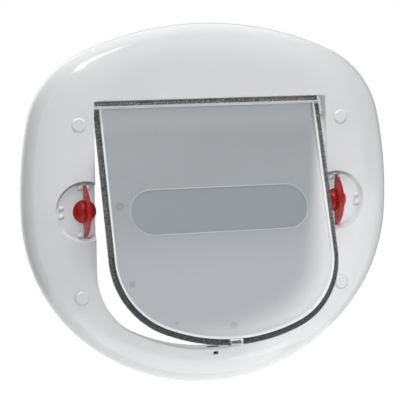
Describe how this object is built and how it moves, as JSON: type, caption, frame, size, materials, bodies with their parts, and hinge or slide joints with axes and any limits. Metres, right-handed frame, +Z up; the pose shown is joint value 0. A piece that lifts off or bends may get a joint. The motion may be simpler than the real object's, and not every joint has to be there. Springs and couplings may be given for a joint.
{
  "type": "cat flap",
  "caption": "Large round-shouldered pet door: white room-side frame with a short tunnel, clear swinging flap with a brush seal and a closing magnet, and red turn locks.",
  "frame": {"origin": "centre of the four fixing holes, on the face of the door", "axes": "+X to the right seen from the room, +Y through the door away from the room, +Z up"},
  "size_m": [0.3638, 0.0847, 0.3438],
  "materials": {
    "frame_plastic": "gloss white moulding",
    "clear_plastic": "frosted clear panel with bright edges",
    "seal_pile": "dense dark grey pile",
    "seal_tape": "dull dark strip",
    "red_plastic": "gloss red",
    "steel": "bright drawn steel",
    "magnet": "dull dark grey",
    "natural_plastic": "dull natural white"
  },
  "bodies": {
    "frame": {"frame": "frame_plastic", "floor_magnet": "magnet", "magnet_keeper": "steel", "screw_cap_upper_left": "frame_plastic", "screw_cap_lower_left": "frame_plastic", "pivot_bush_left": "natural_plastic", "screw_cap_upper_right": "frame_plastic", "screw_cap_lower_right": "frame_plastic", "pivot_bush_right": "natural_plastic"},
    "flap": {"flap_panel": "clear_plastic", "tape_top": "seal_tape", "pile_top": "seal_pile", "lug_slug": "steel", "pivot_pin_left": "steel", "pivot_pin_right": "steel", "tape_left": "seal_tape", "tape_right": "seal_tape", "pile_left": "seal_pile", "pile_right": "seal_pile"},
    "left_lock": {"knob_left": "red_plastic", "lock_arm_left": "natural_plastic", "spring_washer_left": "steel", "arm_screw_left": "steel"},
    "right_lock": {"knob_right": "red_plastic", "lock_arm_right": "natural_plastic", "spring_washer_right": "steel", "arm_screw_right": "steel"}
  },
  "joints": [
    {"name": "flap_swing", "type": "hinge", "parent": "frame", "child": "flap", "pos_m": [0, -0.01025, 0.0816], "axis": [1, 0, 0], "range_deg": [-61, 99]},
    {"name": "left_lock_turn", "type": "hinge", "parent": "frame", "child": "left_lock", "pos_m": [-0.1249, -0.02, 0], "axis": [0, 1, 0], "range_deg": [0, 90]},
    {"name": "right_lock_turn", "type": "hinge", "parent": "frame", "child": "right_lock", "pos_m": [0.1249, -0.02, 0], "axis": [0, -1, 0], "range_deg": [0, 90]}
  ]
}
